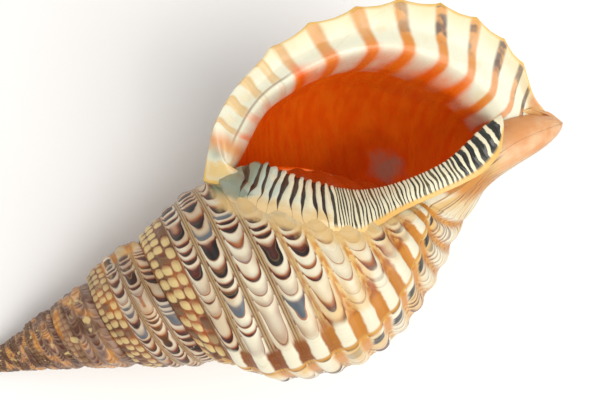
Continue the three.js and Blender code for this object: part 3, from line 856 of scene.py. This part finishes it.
def outsideMaterial():
    o = outside
    values = {"Coat Weight": 0.12, "Coat Roughness": 0.2, "Specular IOR Level": 0.35}
    material, s, shader = newMaterial("shell_outside", values)
    turn, place, callus = attribute(s, "growth")
    glaze, inMouth, past = attribute(s, "glazes")
    where = s.node("ShaderNodeTexCoord", {}, {}, "Object")
    cord = (place - relief["firstCord"]) / relief["cordPitch"]
    cordNumber = (cord + 0.5).floor()
    across = abs(cord - cordNumber) * 2
    blur = noise(s, vectorOf(s, turn * 9, place * 9), 3.0)
    wobble = noise(s, vectorOf(s, turn * 60, place * 30))
    onCord = (across + (wobble - 0.5) * 0.1).falls(o["markHalf"] - 0.03, o["markHalf"] + 0.17)
    lower = place.rises(0.34, 0.5)
    upper = 1 - lower

    # bowed marks: each cord has its own run of cells along the growth, and every cell's edges bow forwards;
    # a mark fills the front of its cell, as wide as luck and the crowding there make it
    side = (across / o["markHalf"]).least(0.99)
    stretch = noise(s, vectorOf(s, turn * 17, cordNumber * 3.3), 1.0)
    along = turn * o["marksInTurn"] + chance(s, cordNumber, 3.7) * 9 + stretch * o["stretch"] + wobble * 0.1
    bowed = along + (1 - (1 - side**2) ** 0.5) * o["bow"]
    cell = bowed.floor()
    inCell = bowed - cell
    luck, tint, other = [chance(s, cell, cordNumber, seed) for seed in (0.0, 5.0, 9.0)]
    crowd = noise(s, vectorOf(s, turn * 9, cordNumber * 1.7, 7.0), 1.0)
    crowd = crowd + upper * 0.05 + turn.falls(-0.97, -0.85) * 0.12
    width = ((luck * 0.8 + crowd * 2.4 - 1.36) * 1.6).most(o["thinnest"]).least(o["widest"])
    width = width * (1 - side**3 * 0.5)
    intoMark = ((inCell - o["lead"]) / width + 1).limited()
    front = inCell.falls(o["lead"] - 0.01, o["lead"] + 0.03)
    mark = front * intoMark.rises(0.0, 0.5) * (0.75 + width * 0.6).limited()
    rim = inCell.near(o["lead"] + 0.03, 0.06) * other.rises(0.25, 0.5)

    # the ground: white, cream and lilac, greyer towards each mark; the upper side, most of all near the
    # callus, is darkened further with painted shade
    # painted shade: the upper side near the callus is made darker, where less light falls
    paintedShadeNearCallus = upper * turn.falls(-0.95, -0.82)
    # the terms weighted by upper are painted shade on the upper side; the rise towards each mark is the
    # ground's own lilac
    shade = inCell.rises(0.2, 0.9) * (0.35 + upper * 0.45) + blur.rises(0.42, 0.6) * 0.45 * upper
    shade = shade + paintedShadeNearCallus * 0.3
    ground = shade.limited().mix(o["white"], o["lilac"])
    ground = (blur.rises(0.38, 0.62) * (0.25 + lower * 0.6)).mix(ground, o["cream"])
    coloured = (rim * 0.8).mix(ground, o["orangeBrown"])
    deep = (intoMark * (0.34 + tint * 0.4 + width * 0.9) * (1 - lower * 0.15)).limited()
    dark = deep.rises(0.15, 0.45).mix(o["markPale"], o["orangeBrown"])
    dark = deep.rises(0.35, 0.65).mix(dark, o["maroon"])
    dark = deep.rises(0.62, 0.95).mix(dark, o["nearBlack"])
    dark = (other.rises(0.82, 0.84) * upper * 0.8).mix(dark, o["slate"])
    coloured = mark.mix(coloured, dark)

    # between the cords: fine dark threads above, orange-brown wedges below
    threads = ((cord * (2 * math.pi * relief["threads"])).sine() * 0.5 + 0.5).rises(0.55, 0.95)
    threadShare = (threads * (wobble * 1.6 - 0.1)).limited()
    threaded = threadShare.mix(blur.mix(o["lilac"], o["gapTan"]), o["threads"])
    wedge = (along + across * 0.9 + 0.3).part()
    wedge = wedge.rises(0.2, 0.7) * wedge.falls(0.85, 1.0) * (0.3 + blur)
    wedged = wedge.limited().mix(o["cream"], tint.mix(o["tan"], o["orangeBrown"]))
    coloured = onCord.mix(lower.mix(threaded, wedged), coloured)

    # towards an old lip and down by the canal the marks give way to white cords and orange-brown stripes
    cordLuck = chance(s, cordNumber, 6.1)
    toLip = (past + cordLuck * 0.03 + (wobble - 0.5) * 0.04).rises(-0.06, -0.015)
    toLip = toLip * past.falls(-0.004, 0.002)
    striped = (toLip * place.rises(0.3, 0.5)).most((place + (blur - 0.5) * 0.3).rises(0.66, 0.84) * 0.55)
    stripes = (across + (wobble - 0.5) * 0.35).rises(0.38, 0.72)
    whites = striped * (1 - stripes) * 0.75
    coloured = whites.mix(coloured, blur.rises(0.4, 0.7).mix(o["white"], o["cream"]))
    stripeColour = (wobble.rises(0.3, 0.6) * (0.4 + blur)).limited().mix(o["tan"], o["orangeBrown"])
    coloured = (striped * stripes * (0.6 + blur * 0.7)).limited().mix(coloured, stripeColour)

    # three rows of beads under the suture
    beaded = place.falls(0.115, 0.13)
    coloured = (beaded * 0.9).mix(coloured, blur.rises(0.4, 0.6).mix(o["orangeBrown"], o["beadGap"]))
    for phase, (at, wide, _, _) in zip(attribute(s, "beads"), relief["beadRows"]):
        inBead = phase.part()
        bead = (abs(inBead - 0.5) * 2.15) ** 3 + (abs(place - at) / (wide * 1.45)) ** 3
        stained = chance(s, phase.floor(), at * 100)
        beadColour = (inBead.falls(0.12, 0.5) * (0.35 + stained * 0.6)).mix(o["beadCream"], o["orangeBrown"])
        beadColour = (stained.rises(0.88, 0.92) * 0.85).mix(beadColour, o["maroon"])
        onBead = (bead + (wobble - 0.5) * 0.6).falls(0.35, 1.0)
        coloured = onBead.mix(coloured, beadColour)

    # old lips: white and brown blocks behind a yellow line, and pale lumps after it
    young = turn.rises(-2.4, -2.1)
    blockBand = (past + (wobble - 0.5) * 0.01).rises(-0.045, -0.032) * past.falls(-0.005, -0.001) * young
    blockBand = blockBand * place.rises(0.1, 0.14)
    brown = (across + (wobble - 0.5) * 0.3).rises(0.42, 0.6)
    browns = (place.rises(0.3, 0.55) * 0.7 + blur * 0.7 - 0.25).limited().mix(o["blockBrown"], o["tan"])
    blocks = brown.mix(o["white"], browns)
    coloured = blockBand.mix(coloured, blocks)
    lumps = past.rises(0.002, 0.008) * past.falls(0.035, 0.06) * place.rises(0.1, 0.14) * young
    lumpColour = across.rises(0.45, 0.8).mix(blur.rises(0.4, 0.6).mix(o["white"], o["cream"]), o["tan"])
    blotch = (past + (blur - 0.5) * 0.03).near(0.027, 0.021).rises(0.2, 0.5) * cordLuck.rises(0.3, 0.35)
    lumpColour = (blotch * (across + (wobble - 0.5) * 0.6).falls(0.35, 0.7)).mix(lumpColour, o["nearBlack"])
    coloured = lumps.mix(coloured, lumpColour)
    line = (past + (wobble - 0.5) * 0.004).near(0, 0.0055)
    coloured = (line * 0.9 * turn.rises(-3.4, -3.2)).mix(coloured, o["yellowLine"])

    # the spire is worn, browner and mauve
    old = turn.falls(-3.0, -1.2)
    patches = noise(s, vectorOf(s, turn * 9, place * 11))
    worn = patches.rises(0.36, 0.5).mix(o["tan"], o["spireMauve"])
    worn = (patches + turn.falls(-5.0, -2.5) * 0.08).rises(0.5, 0.6).mix(worn, o["spireBrown"])
    coloured = (old * (0.4 + patches * 0.75)).limited().mix(coloured, worn)
    spots = noise(s, vectorOf(s, turn * 20, place * 14, 4.0))
    coloured = (old * spots.rises(0.62, 0.7) * 0.8).mix(coloured, o["beadCream"])

    # fine growth lines, then the inner lip's glaze, the canal and the wall inside the mouth
    fine = noise(s, vectorOf(s, bowed * 6, place * 6), 4.0, roughness=0.6)
    coloured = (fine.rises(0.52, 0.75) * 0.3).mix(coloured, o["gapTan"])
    glazed = (callus + (blur - 0.5) * 26 + (wobble - 0.5) * 10).falls(-1.0, 6.0)
    glazed = glazed.most(callus.falls(1.5, 4.5))
    glazeColour = (blur.rises(0.45, 0.6) * 0.6).mix(o["callus"], o["callusPale"])
    glazeColour = (turn.falls(-0.98, -0.95) * wobble.rises(0.2, 0.5)).mix(glazeColour, o["callusGrey"])
    coloured = (glazed * 0.9).mix(coloured, glazeColour)
    canalColour = noise(s, where, 3.0, 60.0).rises(0.4, 0.75).mix(o["canalPink"], o["canalPale"])
    coloured = glaze.mix(coloured, canalColour)
    coloured = inMouth.mix(coloured, o["mouthRed"])
    roughness = (0.3 + fine * 0.2 - glaze * 0.15 - glazed * 0.1).limited()
    height = fine * 0.3 + threads * (1 - onCord) * upper * 0.35 + wobble * 0.2 - line * 0.4
    return finish(material, s, shader, coloured, roughness, height)


# the mouth: white blocks and brown bands at the lip, a thin painted shadow line where the lip's flare steps
# in, then glossy orange
mouthLook = {
    "white": (0.80, 0.79, 0.62),
    "cream": (0.80, 0.58, 0.24),
    "band": (0.66, 0.30, 0.05),
    "bandDeep": (0.68, 0.25, 0.04),
    "tanBand": (0.74, 0.48, 0.18),
    "blotch": (0.10, 0.04, 0.018),
    "rimYellow": (0.80, 0.50, 0.10),
    "ledgeShadowLine": (0.26, 0.15, 0.08),
    "orange": (0.90, 0.115, 0.002),
    "brightOrange": (0.96, 0.19, 0.006),
    "deepRed": (0.55, 0.04, 0.002),
    "pinkTan": (0.72, 0.34, 0.14),
    "grey": (0.30, 0.38, 0.30),
    "mauve": (0.52, 0.33, 0.24),
    "mauveAt": (0.1, 0.002, 0.045),
    "bandWidth": 0.31,
    "ledgeShadowWidth": 1.1,
}


def mouthMaterial():
    m = mouthLook
    values = {"Coat Weight": 0.5, "Coat Roughness": 0.15, "Specular IOR Level": 0.4}
    material, s, shader = newMaterial("mouth_glaze", values)
    band, inside, fromCorner = attribute(s, "mouth")
    reach, ledgeShadowLine, angle = attribute(s, "lipReach")
    where = s.node("ShaderNodeTexCoord", {}, {}, "Object")
    ragged = noise(s, where, 3.0, 90.0)
    coarse = noise(s, where, 3.0, 22.0)
    streaks = noise(s, vectorOf(s, band * 3, inside * 0.04), 4.0, roughness=0.6)
    fromBand = abs((band + 0.5).part() - 0.5) * 2
    lower = band.rises(3.0, 4.5)

    # where the orange begins: further out along the bands, further in between them
    finger = fromBand.rises(0.1, 0.8)
    orangeShare = (reach + finger * 5 - 12 * lower + (ragged - 0.5) * 9).falls(-9.0, 6.0)
    orangeShare = orangeShare.most(inside.rises(46, 56)) * fromCorner.rises(20, 28)

    # bands: orange-brown below, tan and blotchy at the mouth's upper end
    bandWidth = m["bandWidth"] + (ragged - 0.5) * 0.16
    onBand = (bandWidth - fromBand).rises(-0.13, 0.13) * band.rises(-0.6, 0.2)
    bandColour = inside.rises(2.0, 24.0).mix(m["band"], m["bandDeep"])
    blotches = noise(s, vectorOf(s, band * 1.7, inside * 0.12)) + band * 0.012
    blotches = blotches.rises(0.52, 0.66) * inside.falls(14, 22) * inside.rises(1, 4) * band.rises(6.0, 8.0)
    bandColour = blotches.mix(bandColour, m["blotch"])
    block = (ragged.rises(0.5, 0.75) * 0.4).mix(m["white"], m["cream"])
    block = ((inside + (ragged - 0.5) * 8).falls(2.0, 15.0) * 0.6).mix(block, m["cream"])
    coloured = (onBand * lower * (0.55 + ragged * 0.7)).limited().mix(block, bandColour)
    wide = (fromBand + (ragged - 0.5) * 0.9).falls(0.3, 0.6) * (1 - lower) * ledgeShadowLine.rises(-1, 2)
    coloured = (wide * 0.8).mix(coloured, ragged.rises(0.5, 0.7).mix(m["tanBand"], m["pinkTan"]))
    # painted shadow: a thin dark line where the lip's flare steps in
    ledgeShadowShown = ledgeShadowLine.near(0, m["ledgeShadowWidth"]) * (1 - lower * 0.9) * angle.rises(14, 20)
    coloured = (ledgeShadowShown * 0.7).mix(coloured, m["ledgeShadowLine"])
    coloured = (inside + (ragged - 0.5) * 2).falls(1.0, 3.6).mix(coloured, m["rimYellow"])

    # the glossy interior, and the callus in the upper corner
    interior = streaks.rises(0.35, 0.7).mix(m["brightOrange"], m["orange"])
    interior = (coarse.rises(0.5, 0.75) * 0.4).mix(interior, m["deepRed"])
    mauve = s.node("ShaderNodeVectorMath", {"operation": "DISTANCE"}, {0: where, 1: m["mauveAt"]}, "Value")
    interior = ((mauve + (ragged - 0.5) * 0.02).falls(0.003, 0.015) * 0.9).mix(interior, m["mauve"])
    coloured = orangeShare.mix(coloured, interior)
    tongue = band.rises(12.2, 12.8) * inside.falls(20, 40)
    coloured = (tongue * 0.9).mix(coloured, ragged.rises(0.4, 0.7).mix(m["pinkTan"], m["cream"]))
    cornerColour = ragged.rises(0.42, 0.6).mix(m["cream"], m["white"])
    cornerColour = coarse.rises(0.5, 0.62).mix(cornerColour, m["grey"])
    cornerColour = fromCorner.rises(14, 24).mix(cornerColour, m["pinkTan"])
    coloured = (fromCorner.falls(22, 30) * inside.rises(3, 6)).mix(coloured, cornerColour)
    roughness = (0.22 + streaks * 0.12).limited()
    height = streaks * 0.4 + ragged * 0.2 - onBand * (1 - orangeShare) * 0.5
    return finish(material, s, shader, coloured, roughness, height)


# the inner lip: white ridges with dark grooves between, and a tan glaze at its margin
ledgeLook = {
    "cream": (0.80, 0.74, 0.52),
    "paleBlue": (0.52, 0.62, 0.54),
    "groove": (0.022, 0.005, 0.002),
    "black": (0.010, 0.010, 0.006),
    "olive": (0.10, 0.075, 0.02),
    "glaze": (0.72, 0.50, 0.22),
    "greenGrey": (0.15, 0.20, 0.14),
    "edgeTan": (0.84, 0.50, 0.13),
    "parietalLine": 0.38,
    "anteriorLine": 0.62,
}


def ledgeMaterial():
    k = ledgeLook
    values = {"Coat Weight": 0.5, "Coat Roughness": 0.12, "Specular IOR Level": 0.45}
    material, s, shader = newMaterial("inner_lip_enamel", values)
    at, over, phase = attribute(s, "ledge")
    where = s.node("ShaderNodeTexCoord", {}, {}, "Object")
    uneven = noise(s, vectorOf(s, phase * 0.8, over * 1.6))
    patchy = noise(s, where, 3.0, 55.0)
    shifted = phase + (uneven - 0.5) * 0.9
    fromGroove = abs(shifted.part() - 0.5) * 2
    grooveLuck = chance(s, shifted.floor(), 2.0)
    parietal = at.falls(0.41, 0.45)
    anterior = at.rises(0.84, 0.87)
    columella = (1 - parietal) * (1 - anterior)
    taper = (over + (uneven - 0.5) * 0.5).rises(0.16, 0.6)
    width = parietal * taper * k["parietalLine"]
    width = width + columella * (0.2 + grooveLuck * 0.4 + (uneven - 0.5) * 0.5) + anterior * k["anteriorLine"]
    lines = (width - fromGroove).rises(-0.07, 0.09)
    lines = lines * (over.rises(0.1, 0.25) * (1 - parietal) + parietal) * at.rises(0.03, 0.06)
    base = (patchy.rises(0.48, 0.6) * parietal * 0.8).mix(k["cream"], k["paleBlue"])
    tanShare = (over + (patchy - 0.5) * 0.9).falls(0.18, 0.5) * (parietal * 0.85 + 0.1)
    base = tanShare.mix(base, k["glaze"])
    greens = at.falls(0.08, 0.16) * patchy.rises(0.4, 0.55)
    greens = greens + over.near(0.25, 0.14) * patchy.rises(0.56, 0.64) * parietal
    base = (greens.limited() * 0.8).mix(base, k["greenGrey"])
    base = (over.falls(0.14, 0.24) * (1 - parietal)).mix(base, k["edgeTan"])
    lineColour = parietal.mix(k["black"], k["groove"])
    lineColour = (columella * grooveLuck.rises(0.2, 0.9) * 0.8).mix(lineColour, k["olive"])
    coloured = lines.limited().mix(base, lineColour)
    roughness = (0.2 + uneven * 0.12).limited()
    height = uneven * 0.3 - lines * 0.5
    return finish(material, s, shader, coloured, roughness, height)


outsideLook = outsideMaterial()
spireWhorls.data.materials.append(outsideLook)
lastWhorl.data.materials.append(outsideLook)
mouthLining.data.materials.append(mouthMaterial())
innerLipShield.data.materials.append(ledgeMaterial())
print("materials made")

# floor, light and camera
studio = {
    "floorSize": 6.0,
    "floorDrop": 0.0002,
    "floor": (0.9, 0.9, 0.9, 1),
    "world": 0.6,
    "lampColour": (1.0, 0.96, 0.90),
    "lampsAimAt": (0, 0, 0.05),
    "lamps": [
        {"at": (0.8, -1.2, 1.8), "size": 1.8, "power": 19.0},
        {"at": (-0.3, -0.6, 2.2), "size": 1.4, "power": 20.0},
        {"at": (-1.2, 1.0, 1.4), "size": 1.6, "power": 6.0},
    ],
}
# the camera in the shell's own frame, in mm
photo = {
    "at": (25.2, -167.8, 348.6),
    "towardsViewer": (0, 0.0709, 0.9975),
    "up": (0.9392, -0.3424, 0.0244),
    "lens": 40.54,
    "sensor": 36,
}


def makeFloor():
    bpy.ops.object.select_all(action="DESELECT")
    bpy.ops.mesh.primitive_plane_add(size=studio["floorSize"], location=(0, 0, -studio["floorDrop"]))
    floor = bpy.context.object
    floor.name = "floor"
    material, _, _ = newMaterial("pale_floor", {"Base Color": studio["floor"], "Roughness": 0.6})
    floor.data.materials.append(material)


def makeLights():
    world = bpy.data.worlds.new("studio")
    world.use_nodes = True
    background = world.node_tree.nodes["Background"]
    background.inputs["Color"].default_value = (1, 1, 1, 1)
    background.inputs["Strength"].default_value = studio["world"]
    bpy.context.scene.world = world
    for number, softbox in enumerate(studio["lamps"]):
        lamp = bpy.data.lights.new(f"softbox_{number}", "AREA")
        lamp.color = studio["lampColour"]
        lamp.size = softbox["size"]
        lamp.energy = softbox["power"]
        lampObject = bpy.data.objects.new(lamp.name, lamp)
        bpy.context.scene.collection.objects.link(lampObject)
        lampObject.location = softbox["at"]
        aim = Vector(studio["lampsAimAt"]) - Vector(softbox["at"])
        lampObject.rotation_euler = aim.to_track_quat("-Z", "Y").to_euler()


def makeCamera():
    back = Vector(laidDown @ np.array(photo["towardsViewer"])).normalized()
    roughlyUp = Vector(laidDown @ np.array(photo["up"]))
    right = roughlyUp.cross(back).normalized()
    up = back.cross(right)
    lens = bpy.data.cameras.new("photo_camera")
    lens.sensor_width = photo["sensor"]
    lens.sensor_fit = "HORIZONTAL"
    lens.lens = photo["lens"]
    lens.clip_start = 0.01
    camera = bpy.data.objects.new("photo_camera", lens)
    bpy.context.scene.collection.objects.link(camera)
    turnedTo = Matrix((right, up, back)).transposed().to_4x4()
    stand = (laidDown @ np.array(photo["at"]) + np.array(resting["spireTip"])) / 1000
    camera.matrix_world = Matrix.Translation(Vector(stand)) @ turnedTo
    bpy.context.scene.camera = camera


makeFloor()
makeLights()
makeCamera()
bpy.context.scene.view_settings.view_transform = "Standard"
print("floor, light and camera made")
